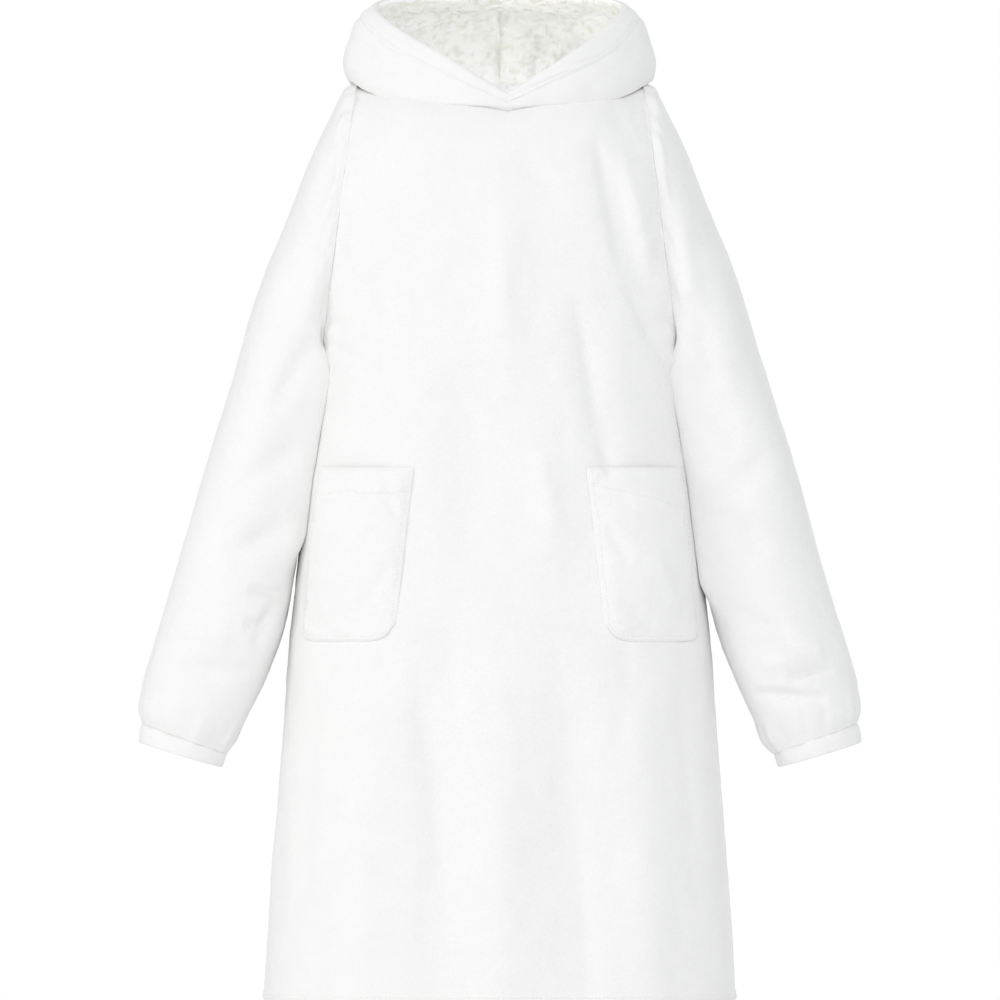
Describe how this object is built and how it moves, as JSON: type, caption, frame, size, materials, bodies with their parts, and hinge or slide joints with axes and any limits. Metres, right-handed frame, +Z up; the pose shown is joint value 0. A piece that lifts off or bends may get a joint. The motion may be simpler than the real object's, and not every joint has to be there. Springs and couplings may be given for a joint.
{
  "type": "wearable blanket hoodie",
  "caption": "Long white wearable blanket hoodie in short plush fleece, with set-in sleeves, patch pockets and a sherpa-lined hood lying back on the shoulders.",
  "frame": {"origin": "the base of the neck, midway between the shoulders, where the garment is held up", "axes": "+Z up the garment, -Y out of the front, +X towards the wearer's left arm"},
  "size_m": [0.866, 0.4395, 1.2206],
  "materials": {
    "plush": "short brushed pile",
    "sherpa": "curly pile"
  },
  "bodies": {
    "root": {"front": "plush", "back": "plush", "sleeve_left": "plush", "sleeve_right": "plush", "cuff_left": "plush", "cuff_right": "plush", "hood_left": "plush", "hood_right": "plush", "hood_band": "plush", "pocket_left": "plush", "pocket_right": "plush", "hood_lining_left": "sherpa", "hood_lining_right": "sherpa"}
  },
  "joints": []
}
